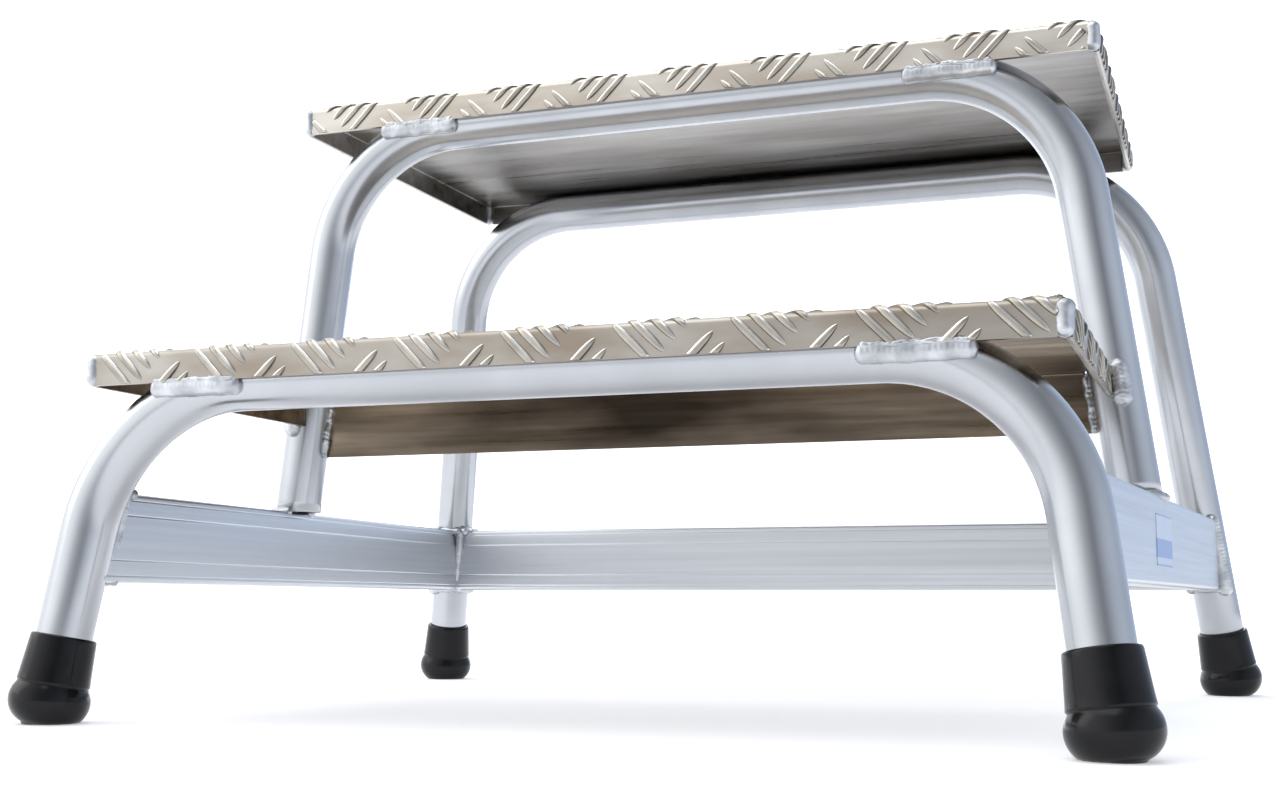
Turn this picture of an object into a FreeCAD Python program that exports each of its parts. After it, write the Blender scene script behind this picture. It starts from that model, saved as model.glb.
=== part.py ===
"""Two-step mounting block welded from bent aluminium tube, flat rails and folded tread plate.

Millimetres. X runs across the block, Y from front to back, Z up from the floor.
The origin is the middle of the block's footprint, on the floor.
"""

import FreeCAD, Part
import math
import os
from collections import namedtuple

Vector = FreeCAD.Vector

# ---------------------------------------------------------------- driving dimensions

RISE = 200.0                    # floor to lower tread, and lower tread to upper tread
BACK_SHIFT = -274.67            # where the front feet stand, from the middle of the footprint

TUBE_RADIUS = 15.0              # round tube, 30 mm outside
TUBE_WALL = 2.0
SHEET = 3.0                     # tread plate, without its raised bars

LIP_HEIGHT = 18.0               # turned-down edges of both treads
BACK_FLANGE_HEIGHT = 38.0       # deeper edge at the back of the lower tread
TREAD_HALF_WIDTH = 262.5
FOLD_RADIUS = 4.0               # outside radius of a folded edge
NOTCH_GAP = 1.0                 # room between the lower tread's notches and the middle legs

RAIL_HEIGHT = 50.0
RAIL_THICKNESS = 18.0
RAIL_WALL = 2.0
RAIL_BOTTOM = 75.0
RAIL_EDGE_RADIUS = 2.5
RAIL_FRONT_INSET = 3.0          # how far the rails' front ends sit inside the legs' axes
REAR_RAIL_ADVANCE = 3.0         # how far the rear rail sits in front of the rear legs' axes
GROOVE_DEPTH = 0.2              # fine lines along the rails' inward faces
GROOVE_HALF_WIDTH = 0.6
GROOVE_HEIGHTS = (-21.0, -12.5, 12.5, 21.0)

FERRULE_HEIGHT = 47.0
FERRULE_FLOOR = 10.0            # rubber under the steel disc
COLLAR_TOP_RADIUS = 17.4
COLLAR_FOOT_RADIUS = 19.0
COLLAR_FOOT = 21.2              # where the collar meets the bulb under it
COLLAR_ROUNDING = 1.5
NECK_RADIUS = 19.3
NECK = 20.4
BULB_RADIUS = 21.4
BULB_WIDEST = 12.5
BULB_SHOULDERS = ((17.4, 2.4), (21.1, 16.9))    # points of its outline, under and over its widest
SOLE_RADIUS = 8.0
SOLE_DEPTH = 4.0                # below the floor on the leg's axis, trimmed level with the floor
DISC_THICKNESS = 2.0
DISC_RADIUS = 14.6

LABEL_LENGTH = 62.0
LABEL_HEIGHT = 28.0
LABEL_THICKNESS = 0.4
LABEL_ALONG = 0.42              # place along the right rail, from its front end

CORNER_BEAD_RADIUS = 4.0
CORNER_BEAD_INSET = 2.7         # from the tread's outer faces to the bead's axis
CORNER_BEAD_DEPTH = 0.3         # from the tread's top down to the bead
LIP_BEAD_RADIUS = 4.6
LIP_BEAD_SINK = 1.2             # from the lip's face back to the bead's axis
LIP_BEAD_DROP = 1.6             # from the lip's edge down to the bead's axis
LIP_BEAD_LENGTH = 51.0
LOWER_LIP_BEAD_END = 168.0      # from the middle of the block to a bead's nearer end
UPPER_LIP_BEAD_END = 151.0
UPPER_BACK_BEAD_END = 172.0
LIP_GAP = 0.3                   # unfilled gap between the lip's back and the tube
SIDE_BEAD_RADIUS = 4.8
SIDE_BEAD_SHIFT = 3.5           # from the middle leg's axis out to the bead's axis
BACK_BEAD_RADIUS = 2.6
RAIL_BEAD_RADIUS = 3.6
FRONT_INNER_BEAD_ADVANCE = 12.0 # from the front leg's axis back along the rail
FRONT_OUTER_BEAD_ADVANCE = 14.0
REAR_OUTER_BEAD_TUCK = 2.0      # inside the rear leg's widest line
REAR_INNER_BEAD_TUCK = 1.5
RAIL_JOINT_BEAD_CLEAR = 1.2     # from the corner between the side rail and the rear rail
BEAD_PROUD = 0.5                # how far a bead's axis is clear of the metal it is laid on

BIG = 2000.0
OVERRUN = 40.0

# A hoop is a bent tube: two splayed legs and a level bar on top, in one leaning plane.
# splay and lean are slopes: how far a leg moves in X and in Y for each unit of height.
# leg_end is where the tube begins, along the leg from the floor.
Hoop = namedtuple("Hoop", "foot_x splay foot_y lean bar_z bend_radius leg_end")

LEG_END = FERRULE_FLOOR + DISC_THICKNESS
RAIL_TOP = RAIL_BOTTOM + RAIL_HEIGHT
RAIL_MIDDLE = RAIL_BOTTOM + RAIL_HEIGHT / 2
LOWER_BAR = RISE - SHEET - TUBE_RADIUS
UPPER_BAR = 2 * RISE - SHEET - TUBE_RADIUS

FRONT = Hoop(277.0, 0.1317, BACK_SHIFT, 0.12, LOWER_BAR, 91.0, LEG_END)
MIDDLE = Hoop(289.5, 0.1317, BACK_SHIFT + 241.0, -0.0175, UPPER_BAR, 93.0, RAIL_MIDDLE)
REAR = Hoop(318.0, 0.1405, BACK_SHIFT + 550.0, -0.165, UPPER_BAR, 97.0, LEG_END)

SIDES = {"left": -1, "right": 1}


# ---------------------------------------------------------------- small helpers

def box(low, high):
    """Box between two corners."""
    size = high.sub(low)
    return Part.makeBox(size.x, size.y, size.z, low)


def bead(start, end, radius):
    """Round-ended bar of weld metal from start to end."""
    run = end.sub(start)
    bar = Part.makeCylinder(radius, run.Length, start, run)
    for point in (start, end):
        bar = bar.fuse(Part.makeSphere(radius, point))
    return bar.removeSplitter()


def largest(shape):
    """The biggest solid of a shape, without the crumbs a cut may leave."""
    return max(shape.Solids, key=lambda solid: solid.Volume)


def fused(shapes):
    """One shape from several that overlap."""
    whole = shapes[0]
    for shape in shapes[1:]:
        whole = whole.fuse(shape)
    return whole.removeSplitter()


def trimmed(shape, *neighbours):
    """The shape without what its neighbours fill."""
    for neighbour in neighbours:
        shape = shape.cut(neighbour)
    return largest(shape)


# ---------------------------------------------------------------- hoops

def leg_axis(hoop, side, z):
    """Point on a leg's axis at height z."""
    return Vector(side * (hoop.foot_x - hoop.splay * z), hoop.foot_y + hoop.lean * z, z)


def leg_direction(hoop, side):
    """Unit vector up a leg."""
    return Vector(-side * hoop.splay, hoop.lean, 1.0).normalize()


def leg_start(hoop, side):
    """Where a leg's tube begins."""
    return leg_axis(hoop, side, 0.0).add(leg_direction(hoop, side) * hoop.leg_end)


def bar_y(hoop):
    """Y of the bar's axis."""
    return hoop.foot_y + hoop.lean * hoop.bar_z


def hoop_path(hoop):
    """Axis of the bent tube, from the left leg's end to the right leg's end."""
    stretch = math.hypot(1.0, hoop.lean)
    angle = math.atan(hoop.splay / stretch)

    def place(across, up):
        """Point of the hoop's plane: across in X, up along the plane's slope."""
        height = up / stretch
        return Vector(across, hoop.foot_y + hoop.lean * height, height)

    bar_up = hoop.bar_z * stretch
    corner = hoop.foot_x - hoop.splay * hoop.bar_z
    tangent = hoop.bend_radius * math.tan((math.pi / 2 - angle) / 2)
    centre = (corner - tangent, bar_up - hoop.bend_radius)

    def on_bend(side, turn):
        """Point of the bend, where turn 0 is level and a quarter turn is the top."""
        across = centre[0] + hoop.bend_radius * math.cos(turn)
        return place(side * across, centre[1] + hoop.bend_radius * math.sin(turn))

    half_turn = (angle + math.pi / 2) / 2
    left = [on_bend(-1, turn) for turn in (angle, half_turn, math.pi / 2)]
    right = [on_bend(1, turn) for turn in (math.pi / 2, half_turn, angle)]
    return Part.Wire([
        Part.LineSegment(leg_start(hoop, -1), left[0]).toShape(),
        Part.Arc(*left).toShape(),
        Part.LineSegment(left[2], right[0]).toShape(),
        Part.Arc(*right).toShape(),
        Part.LineSegment(right[2], leg_start(hoop, 1)).toShape(),
    ])


def hoop_solid(hoop, radius):
    """Solid bar of a given radius along the hoop's axis."""
    path = hoop_path(hoop)
    ring = Part.Circle(leg_start(hoop, -1), leg_direction(hoop, -1), radius)
    return path.makePipeShell([Part.Wire(ring.toShape())], True, True)


def leg_cylinder(hoop, side, low_z, high_z, radius):
    """Solid round bar along a leg's axis between two heights."""
    start = leg_axis(hoop, side, low_z)
    run = leg_axis(hoop, side, high_z).sub(start)
    return Part.makeCylinder(radius, run.Length, start, run)


# ---------------------------------------------------------------- treads

def pan(front_y, back_y, top_z, height, back_open):
    """Sheet folded down on the front and both sides, and on the back unless back_open."""
    half = TREAD_HALF_WIDTH
    beyond = OVERRUN if back_open else 0.0
    outside = box(Vector(-half, front_y, top_z - height), Vector(half, back_y + beyond, top_z))
    inside = box(Vector(-half + SHEET, front_y + SHEET, top_z - height - SHEET),
                 Vector(half - SHEET, back_y + beyond - SHEET, top_z - SHEET))
    outside = outside.makeFillet(FOLD_RADIUS, edges_at(outside, top_z))
    inside = inside.makeFillet(FOLD_RADIUS - SHEET, edges_at(inside, top_z - SHEET))
    shell = outside.cut(inside)
    if back_open:
        cutter = box(Vector(-BIG, back_y, -BIG), Vector(BIG, BIG, BIG))
        shell = shell.cut(cutter)
    return shell


def edges_at(shape, z):
    """The edges of a box that lie at height z."""
    return [edge for edge in shape.Edges
            if all(abs(vertex.Z - z) < 1e-6 for vertex in edge.Vertexes)]


def back_flange(back_y, top_z, height):
    """The deeper fold at the back of the lower tread, with a short piece of its top."""
    half = TREAD_HALF_WIDTH
    reach = 3 * FOLD_RADIUS
    outside = box(Vector(-half, back_y - reach, top_z - height), Vector(half, back_y, top_z))
    inside = box(Vector(-half - SHEET, back_y - reach - SHEET, top_z - height - SHEET),
                 Vector(half + SHEET, back_y - SHEET, top_z - SHEET))
    fold = [edge for edge in edges_at(outside, top_z)
            if all(abs(vertex.Y - back_y) < 1e-6 for vertex in edge.Vertexes)]
    inner_fold = [edge for edge in edges_at(inside, top_z - SHEET)
                  if all(abs(vertex.Y - back_y + SHEET) < 1e-6 for vertex in edge.Vertexes)]
    outside = outside.makeFillet(FOLD_RADIUS, fold)
    inside = inside.makeFillet(FOLD_RADIUS - SHEET, inner_fold)
    return outside.cut(inside)


def corner_bead(side, y, into, top_z):
    """Weld that closes a corner of a pan, and the room made for it in the sheet.

    into is +1 at the front and -1 at the back. The sheet's corner is also gone under the bead.
    """
    x = side * (TREAD_HALF_WIDTH - CORNER_BEAD_INSET)
    inner_y = y + into * CORNER_BEAD_INSET
    low = Vector(x, inner_y, top_z - LIP_HEIGHT + CORNER_BEAD_RADIUS - BEAD_PROUD)
    high = Vector(x, inner_y, top_z - CORNER_BEAD_RADIUS - CORNER_BEAD_DEPTH)
    weld = bead(low, high, CORNER_BEAD_RADIUS)
    under = Part.makeCylinder(CORNER_BEAD_RADIUS, OVERRUN, low, Vector(0, 0, -1))
    return weld, weld.fuse(under).removeSplitter()


# ---------------------------------------------------------------- rails

def rail_section(thickness, height, radius, grooved_side):
    """Outline of a rail, upright in the XZ plane and centred on the origin.

    grooved_side is +1 or -1 for the face that has the fine grooves, or 0 for none.
    """
    half_t, half_h = thickness / 2, height / 2
    plate = Part.makeBox(thickness, 1.0, height, Vector(-half_t, 0, -half_h))
    upright = [edge for edge in plate.Edges
               if abs(edge.Vertexes[0].Y - edge.Vertexes[-1].Y) > 0.5]
    plate = plate.makeFillet(radius, upright)
    if grooved_side:
        face_x = grooved_side * half_t
        for z in GROOVE_HEIGHTS:
            outline = [
                Vector(face_x + grooved_side, -1, z - 2 * GROOVE_HALF_WIDTH),
                Vector(face_x + grooved_side, -1, z + 2 * GROOVE_HALF_WIDTH),
                Vector(face_x, -1, z + GROOVE_HALF_WIDTH),
                Vector(face_x - grooved_side * GROOVE_DEPTH, -1, z),
                Vector(face_x, -1, z - GROOVE_HALF_WIDTH),
            ]
            groove = Part.Face(Part.makePolygon(outline + outline[:1]))
            plate = plate.cut(groove.extrude(Vector(0, 3, 0)))
    return min(plate.Faces, key=lambda face: face.CenterOfMass.y)


def rail(start, end, grooved_side):
    """Hollow rail and its filled outline, along the level line from start to end.

    grooved_side is +1 when the grooved face is on the right of that line, -1 on the left.
    """
    run = end.sub(start)
    turn = math.degrees(math.atan2(run.y, run.x)) - 90.0
    bars = []
    for section in (
            rail_section(RAIL_THICKNESS, RAIL_HEIGHT, RAIL_EDGE_RADIUS, grooved_side),
            rail_section(RAIL_THICKNESS - 2 * RAIL_WALL, RAIL_HEIGHT - 2 * RAIL_WALL,
                         RAIL_EDGE_RADIUS / 2, 0)):
        bar = section.extrude(Vector(0, run.Length, 0))
        bar.Placement = FreeCAD.Placement(start, FreeCAD.Rotation(Vector(0, 0, 1), turn))
        bars.append(bar)
    solid, hollow = bars
    return solid.cut(hollow), solid


# ---------------------------------------------------------------- feet

def on_leg(shape, hoop, side):
    """Moves a shape made about the Z axis onto a leg's axis, foot on the floor."""
    turn = FreeCAD.Rotation(Vector(0, 0, 1), leg_direction(hoop, side))
    shape.Placement = FreeCAD.Placement(leg_axis(hoop, side, 0.0), turn)
    return shape


def ferrule(hoop, side):
    """Rubber foot: a collar round the tube end over a wider rounded tread."""
    def at(radius, height):
        return Vector(radius, 0, height)

    def line(*ends):
        return Part.LineSegment(*ends).toShape()

    def arc(*points):
        return Part.Arc(*points).toShape()

    sole_middle, sole_edge = at(0, -SOLE_DEPTH), at(SOLE_RADIUS, -SOLE_DEPTH)
    widest = at(BULB_RADIUS, BULB_WIDEST)
    neck = at(NECK_RADIUS, NECK)
    collar_foot = at(COLLAR_FOOT_RADIUS, COLLAR_FOOT)
    rim_outside = at(COLLAR_TOP_RADIUS, FERRULE_HEIGHT - COLLAR_ROUNDING)
    rim_turn = at(COLLAR_TOP_RADIUS - COLLAR_ROUNDING / 3, FERRULE_HEIGHT - COLLAR_ROUNDING / 3)
    rim_top = at(COLLAR_TOP_RADIUS - COLLAR_ROUNDING, FERRULE_HEIGHT)
    bore_top, bore_foot = at(TUBE_RADIUS, FERRULE_HEIGHT), at(TUBE_RADIUS, FERRULE_FLOOR)
    floor_middle = at(0, FERRULE_FLOOR)
    outline = [
        line(sole_middle, sole_edge),
        arc(sole_edge, at(*BULB_SHOULDERS[0]), widest),
        arc(widest, at(*BULB_SHOULDERS[1]), neck),
        line(neck, collar_foot),
        line(collar_foot, rim_outside),
        arc(rim_outside, rim_turn, rim_top),
        line(rim_top, bore_top),
        line(bore_top, bore_foot),
        line(bore_foot, floor_middle),
        line(floor_middle, sole_middle),
    ]
    body = Part.Face(Part.Wire(outline)).revolve(Vector(), Vector(0, 0, 1), 360)
    placed = on_leg(Part.makeSolid(body) if body.ShapeType == "Shell" else body, hoop, side)
    below_floor = box(Vector(-BIG, -BIG, -BIG), Vector(BIG, BIG, 0))
    return largest(placed.cut(below_floor))


def foot_disc(hoop, side):
    """Steel disc in a ferrule, which keeps the tube end from cutting the rubber."""
    disc = Part.makeCylinder(DISC_RADIUS, DISC_THICKNESS, Vector(0, 0, FERRULE_FLOOR))
    return on_leg(disc, hoop, side)


# ---------------------------------------------------------------- the block

LOWER_FRONT = bar_y(FRONT) - TUBE_RADIUS - SHEET        # outer faces of the treads' edges
LOWER_BACK = leg_axis(MIDDLE, 1, RISE).y + SHEET
UPPER_FRONT = bar_y(MIDDLE) - TUBE_RADIUS - SHEET
UPPER_BACK = bar_y(REAR) + TUBE_RADIUS + SHEET


def hoop_pieces(parts, bars):
    """The three hoops. bars are the same shapes without their bores."""
    below_rail_top = box(Vector(-BIG, -BIG, -BIG), Vector(BIG, BIG, RAIL_TOP))
    bars["front"] = hoop_solid(FRONT, TUBE_RADIUS)
    bars["middle"] = hoop_solid(MIDDLE, TUBE_RADIUS).cut(below_rail_top)
    bars["rear"] = hoop_solid(REAR, TUBE_RADIUS)
    for name, hoop in (("front", FRONT), ("middle", MIDDLE), ("rear", REAR)):
        bore = hoop_solid(hoop, TUBE_RADIUS - TUBE_WALL)
        parts[name + "_hoop"] = largest(bars[name].cut(bore))


def tread_pieces(parts):
    """Both treads and the beads that close their corners. Each lip lies against a tube."""
    notches = [leg_cylinder(MIDDLE, side, RAIL_TOP, RISE + OVERRUN, TUBE_RADIUS + NOTCH_GAP)
               for side in SIDES.values()]
    lower_shell = fused([pan(LOWER_FRONT, LOWER_BACK, RISE, LIP_HEIGHT, True),
                         back_flange(LOWER_BACK, RISE, BACK_FLANGE_HEIGHT)])
    upper_shell = pan(UPPER_FRONT, UPPER_BACK, 2 * RISE, LIP_HEIGHT, False)

    lower_room, upper_room = [], []
    for label, side in SIDES.items():
        for name, y, into, top_z, room in (
                ("weld_lower_corner_", LOWER_FRONT, 1, RISE, lower_room),
                ("weld_upper_front_corner_", UPPER_FRONT, 1, 2 * RISE, upper_room),
                ("weld_upper_back_corner_", UPPER_BACK, -1, 2 * RISE, upper_room)):
            parts[name + label], corner_room = corner_bead(side, y, into, top_z)
            room.append(corner_room)
    parts["lower_tread"] = trimmed(lower_shell, *notches, *lower_room)
    parts["upper_tread"] = trimmed(upper_shell, *upper_room)


def lip_bead(face_y, facing, top_z, side, near, tube, tread):
    """Weld under the edge of a lip, where the tube's bend leaves it."""
    y = face_y - facing * LIP_BEAD_SINK
    z = top_z - LIP_HEIGHT - LIP_BEAD_DROP
    far = near + LIP_BEAD_LENGTH
    bar = bead(Vector(side * near, y, z), Vector(side * far, y, z), LIP_BEAD_RADIUS)
    back_y = face_y - facing * (SHEET - LIP_GAP)
    deep_y = back_y - facing * OVERRUN
    behind_lip = box(Vector(-BIG, min(back_y, deep_y), top_z - LIP_HEIGHT - LIP_GAP),
                     Vector(BIG, max(back_y, deep_y), BIG))
    return trimmed(bar, tube, tread, behind_lip)


def tread_beads(parts, bars):
    """Welds that hold the treads to the tubes."""
    for label, side in SIDES.items():
        parts["weld_lower_lip_" + label] = lip_bead(
            LOWER_FRONT, -1, RISE, side, LOWER_LIP_BEAD_END,
            bars["front"], parts["lower_tread"])
        parts["weld_upper_lip_" + label] = lip_bead(
            UPPER_FRONT, -1, 2 * RISE, side, UPPER_LIP_BEAD_END,
            bars["middle"], parts["upper_tread"])
        parts["weld_upper_back_" + label] = lip_bead(
            UPPER_BACK, 1, 2 * RISE, side, UPPER_BACK_BEAD_END,
            bars["rear"], parts["upper_tread"])

        # The lower tread's side edges end on the fronts of the middle legs.
        front_of_leg = Vector(side * SIDE_BEAD_SHIFT, -TUBE_RADIUS - BEAD_PROUD, 0)
        bar = bead(leg_axis(MIDDLE, side, RISE - LIP_HEIGHT + BEAD_PROUD).add(front_of_leg),
                   leg_axis(MIDDLE, side, RISE - SIDE_BEAD_RADIUS - BEAD_PROUD).add(front_of_leg),
                   SIDE_BEAD_RADIUS)
        parts["weld_lower_side_" + label] = trimmed(bar, bars["middle"], parts["lower_tread"])

        # Its back flange ends on their inner sides.
        ends = []
        for z in (RISE - BACK_FLANGE_HEIGHT + 2.0, RISE - 2 * SHEET):
            beside_leg = leg_axis(MIDDLE, side, z).x - side * (TUBE_RADIUS + BEAD_PROUD)
            ends.append(Vector(beside_leg, LOWER_BACK - SHEET - 2 * BEAD_PROUD, z))
        bar = bead(*ends, BACK_BEAD_RADIUS)
        parts["weld_lower_back_" + label] = trimmed(bar, bars["middle"], parts["lower_tread"])


def rail_pieces(parts, bars):
    """The three rails, cut to the curve of the legs they run between, and their welds."""
    solid_rails = {}
    for label, side in SIDES.items():
        inset = Vector(-side * RAIL_FRONT_INSET, 0, 0)
        hollow, solid = rail(leg_axis(FRONT, side, RAIL_MIDDLE).add(inset),
                             leg_axis(REAR, side, RAIL_MIDDLE), -side)
        solid_rails[label] = trimmed(solid, bars["front"], bars["rear"])
        parts["rail_" + label] = trimmed(hollow, bars["front"], bars["rear"])
    side_rails = list(solid_rails.values())
    advance = Vector(0, -REAR_RAIL_ADVANCE, 0)
    hollow, solid = rail(leg_axis(REAR, -1, RAIL_MIDDLE).add(advance),
                         leg_axis(REAR, 1, RAIL_MIDDLE).add(advance), 1)
    solid_rails["rear"] = trimmed(solid, bars["rear"], *side_rails)
    parts["rail_rear"] = trimmed(hollow, bars["rear"], *side_rails)
    for label, side in SIDES.items():
        rail_beads(parts, bars, solid_rails, label, side)


def rail_beads(parts, bars, solid_rails, label, side):
    """Welds round both ends of a side rail and under the middle leg that stands on it."""
    half = RAIL_THICKNESS / 2
    low_z, high_z = RAIL_BOTTOM + 1.0, RAIL_TOP - 1.0
    behind = TUBE_RADIUS + BEAD_PROUD
    along = leg_axis(REAR, side, RAIL_MIDDLE).sub(leg_axis(FRONT, side, RAIL_MIDDLE)).normalize()
    across = Vector(along.y, -along.x, 0) * side          # outwards, away from the middle

    def upright(hoop, outwards, onwards):
        """Bead down a leg's side, from the rails' tops to their bottoms."""
        shift = across * outwards + along * onwards
        return bead(leg_axis(hoop, side, low_z).add(shift),
                    leg_axis(hoop, side, high_z).add(shift), RAIL_BEAD_RADIUS)

    def level(hoop, z, onwards, inner, outer):
        """Bead across a rail's top or bottom edge, against the leg."""
        axis = leg_axis(hoop, side, z)
        return bead(axis.add(across * inner + along * onwards),
                    axis.add(across * outer + along * onwards), RAIL_BEAD_RADIUS)

    clear = [bars["front"], bars["rear"], solid_rails[label], solid_rails["rear"]]
    inner_face, outer_face = -RAIL_FRONT_INSET - half, -RAIL_FRONT_INSET + half
    front_beads = [
        upright(FRONT, inner_face, FRONT_INNER_BEAD_ADVANCE),
        upright(FRONT, outer_face, FRONT_OUTER_BEAD_ADVANCE),
        level(FRONT, high_z, behind, inner_face, outer_face),
        level(FRONT, low_z, behind, inner_face, outer_face),
    ]
    parts["weld_rail_front_" + label] = trimmed(fused(front_beads), *clear)

    rear_beads = [
        upright(REAR, -half - RAIL_JOINT_BEAD_CLEAR,
                -half - REAR_RAIL_ADVANCE - RAIL_JOINT_BEAD_CLEAR),
        upright(REAR, half, -TUBE_RADIUS + REAR_OUTER_BEAD_TUCK),
        upright(REAR, -TUBE_RADIUS + REAR_INNER_BEAD_TUCK,
                half - REAR_RAIL_ADVANCE + REAR_OUTER_BEAD_TUCK),
        level(REAR, high_z, -behind, -half, half),
        level(REAR, low_z, -behind, -half, half),
    ]
    for z in (high_z, low_z):
        axis = leg_axis(REAR, side, z).add(Vector(-side * behind, -REAR_RAIL_ADVANCE, 0))
        rear_beads.append(bead(axis.add(Vector(0, -half, 0)),
                               axis.add(Vector(0, half, 0)), RAIL_BEAD_RADIUS))
    parts["weld_rail_back_" + label] = trimmed(fused(rear_beads), *clear)

    # Ring of weld where the middle leg stands on the rail, only over the rail itself.
    ring = Part.makeTorus(TUBE_RADIUS + BEAD_PROUD, RAIL_BEAD_RADIUS,
                          leg_axis(MIDDLE, side, RAIL_TOP))
    over_rail = solid_rails[label].copy()
    over_rail.translate(Vector(0, 0, RAIL_HEIGHT))
    parts["weld_middle_leg_" + label] = trimmed(ring.common(over_rail), bars["middle"])


def foot_pieces(parts):
    """The four rubber feet and the discs inside them."""
    for end, hoop in (("front", FRONT), ("rear", REAR)):
        for label, side in SIDES.items():
            parts["foot_%s_%s" % (end, label)] = ferrule(hoop, side)
            parts["foot_disc_%s_%s" % (end, label)] = foot_disc(hoop, side)


def label_piece(parts):
    """Blank label on the outside of the right rail."""
    start = leg_axis(FRONT, 1, RAIL_MIDDLE).add(Vector(-RAIL_FRONT_INSET, 0, 0))
    run = leg_axis(REAR, 1, RAIL_MIDDLE).sub(start)
    turn = math.degrees(math.atan2(run.y, run.x)) - 90.0
    low = Vector(RAIL_THICKNESS / 2, run.Length * LABEL_ALONG - LABEL_LENGTH / 2,
                 -LABEL_HEIGHT / 2)
    plate = box(low, low.add(Vector(LABEL_THICKNESS, LABEL_LENGTH, LABEL_HEIGHT)))
    plate.Placement = FreeCAD.Placement(start, FreeCAD.Rotation(Vector(0, 0, 1), turn))
    parts["blank_label"] = plate


def build():
    """All the pieces of the block, by node name."""
    parts, bars = {}, {}
    hoop_pieces(parts, bars)
    tread_pieces(parts)
    tread_beads(parts, bars)
    rail_pieces(parts, bars)
    foot_pieces(parts)
    label_piece(parts)
    return parts


def main():
    os.makedirs("parts", exist_ok=True)
    parts = build()
    for name, shape in parts.items():
        shape.exportStep("parts/%s.step" % name)
    bounds = Part.makeCompound(list(parts.values())).optimalBoundingBox(False, False)
    print(len(parts), "nodes; box %.1f x %.1f x %.1f" % (
        bounds.XLength, bounds.YLength, bounds.ZLength))
    print("middle of the box: %.3f, %.3f; lowest point %.3f" % (
        bounds.Center.x, bounds.Center.y, bounds.ZMin))


main()
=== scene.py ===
"""The two-step mounting block as photographed: satin tube, tread plate, weld beads, rubber feet.

Metres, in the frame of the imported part: X across, Y from front to back, Z up from the floor.
"""

import math
import random
from collections import namedtuple

import bmesh
import bpy
from mathutils import Matrix, Vector, noise


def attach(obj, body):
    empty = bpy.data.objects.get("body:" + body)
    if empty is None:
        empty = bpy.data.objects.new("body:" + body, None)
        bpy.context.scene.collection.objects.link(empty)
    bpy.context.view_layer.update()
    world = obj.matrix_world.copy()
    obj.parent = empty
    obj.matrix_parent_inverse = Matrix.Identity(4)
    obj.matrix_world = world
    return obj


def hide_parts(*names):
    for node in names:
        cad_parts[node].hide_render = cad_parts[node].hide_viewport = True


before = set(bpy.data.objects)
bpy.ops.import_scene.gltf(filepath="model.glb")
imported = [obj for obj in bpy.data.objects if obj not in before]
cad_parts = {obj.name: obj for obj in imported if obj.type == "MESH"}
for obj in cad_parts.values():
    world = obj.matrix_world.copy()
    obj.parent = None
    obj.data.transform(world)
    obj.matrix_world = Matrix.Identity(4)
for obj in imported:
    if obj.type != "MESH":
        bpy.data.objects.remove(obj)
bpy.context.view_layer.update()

MM = 0.001
SCENE = bpy.context.scene
RANDOM = random.Random(7)
FULL_TURN = 2 * math.pi

# ---------------------------------------------------------------- dimensions, millimetres

RISE = 200.0            # height of each step
BACK_SHIFT = -274.67    # Y of the front feet, which puts the middle of the block's depth at 0
TUBE_RADIUS = 15.0
TUBE_WALL = 2.0
SHEET = 3.0
LIP = 18.0              # height of the treads' turned-down edges
BACK_FLANGE = 38.0      # that of the lower tread's back edge
HALF_WIDTH = 262.5      # of the treads
FOLD = 4.0              # outer radius of their folds
RAIL_TOP = 125.0
RAIL_BOTTOM = 75.0
RAIL_THICKNESS = 18.0
FERRULE_HEIGHT = 47.0
FERRULE_FLOOR = 10.0
LABEL_MIDDLE = 100.0
LABEL_HEIGHT = 28.0

Hoop = namedtuple("Hoop", "foot_x splay foot_y lean bar_z bend_radius leg_end")
FRONT = Hoop(277.0, 0.1317, BACK_SHIFT, 0.12, 182.0, 91.0, 12.0)
MIDDLE = Hoop(289.5, 0.1317, BACK_SHIFT + 241.0, -0.0175, 382.0, 93.0, 100.0)
REAR = Hoop(318.0, 0.1405, BACK_SHIFT + 550.0, -0.165, 382.0, 97.0, 12.0)
SIDES = {"left": -1, "right": 1}        # the sign of X on each side


def leg_axis(hoop, side, z):
    """Point on a leg's axis at height z."""
    return Vector((side * (hoop.foot_x - hoop.splay * z), hoop.foot_y + hoop.lean * z, z))


def leg_direction(hoop, side):
    """Unit vector up a leg."""
    return Vector((-side * hoop.splay, hoop.lean, 1.0)).normalized()


def bar_y(hoop):
    """Y of a hoop's level bar."""
    return hoop.foot_y + hoop.lean * hoop.bar_z


LOWER_FRONT = bar_y(FRONT) - TUBE_RADIUS - SHEET
LOWER_BACK = leg_axis(MIDDLE, 1, RISE).y + SHEET
UPPER_FRONT = bar_y(MIDDLE) - TUBE_RADIUS - SHEET
UPPER_BACK = bar_y(REAR) + TUBE_RADIUS + SHEET


# ---------------------------------------------------------------- materials

EVEN = (1, 1, 1)        # stretch of a grain that is the same along every axis
WHITE = (1.0, 1.0, 1.0)
MIX_FACTOR, MIX_FIRST, MIX_SECOND = 0, 6, 7     # inputs of a mix node that mixes colours
MIX_RESULT = 2          # its output
DULLER, SHINIER = 1.2, 0.85     # how far a metal's roughness goes up and down
FINE_GRAIN = 5          # a metal's relief is finer than its colour by this factor
GRAIN_HEIGHT = 0.0003
PALE_FILM, BLUE_FILM = (0.58, 0.66, 0.78), (0.27, 0.38, 0.66)
LABEL_FIELDS = ((0.0, BLUE_FILM), (0.03, PALE_FILM), (0.16, BLUE_FILM), (0.52, PALE_FILM),
                (0.97, BLUE_FILM))      # from the label's lower edge at 0 to its upper edge at 1


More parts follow.
